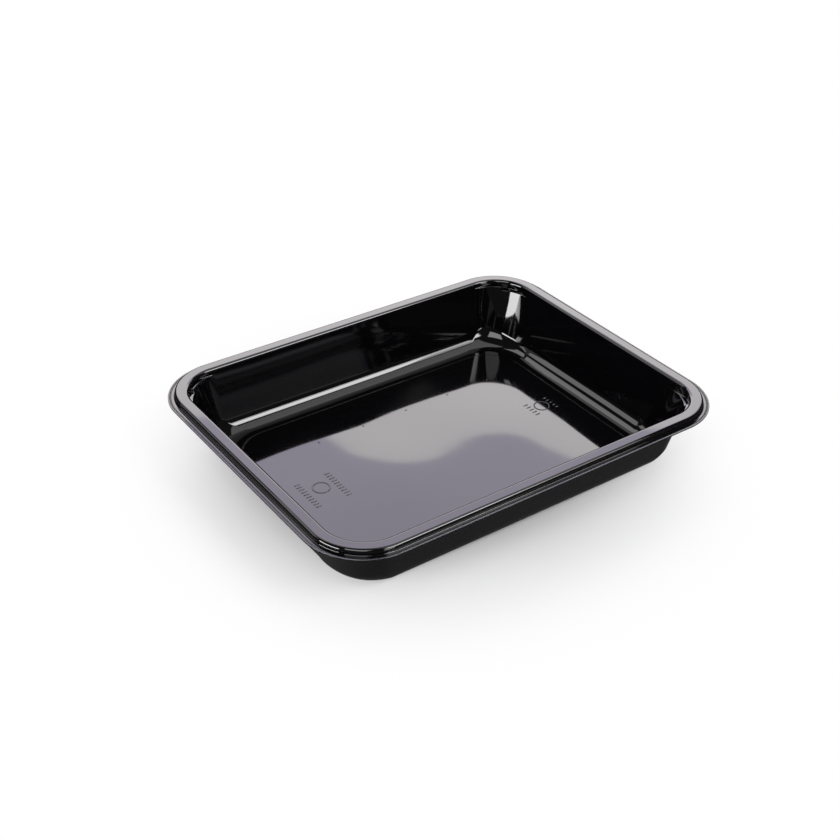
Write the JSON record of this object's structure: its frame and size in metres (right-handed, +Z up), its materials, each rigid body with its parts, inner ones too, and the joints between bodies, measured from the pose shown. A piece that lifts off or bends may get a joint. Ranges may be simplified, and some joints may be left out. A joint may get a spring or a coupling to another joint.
{
  "type": "ovenable plastic meal tray",
  "caption": "Shallow rectangular thermoformed meal tray with rounded corners, drafted walls, a flat seal flange, a trimmed lip and stepped stacking shoulders in its corners.",
  "frame": {"origin": "centre of the resting face, under the middle of the tray", "axes": "+X along the long side, +Y along the short side, +Z up through the open mouth"},
  "size_m": [0.227, 0.178, 0.0346],
  "materials": {
    "black_plastic": "glossy thermoformed sheet"
  },
  "bodies": {
    "root": {"tray": "black_plastic"}
  },
  "joints": []
}
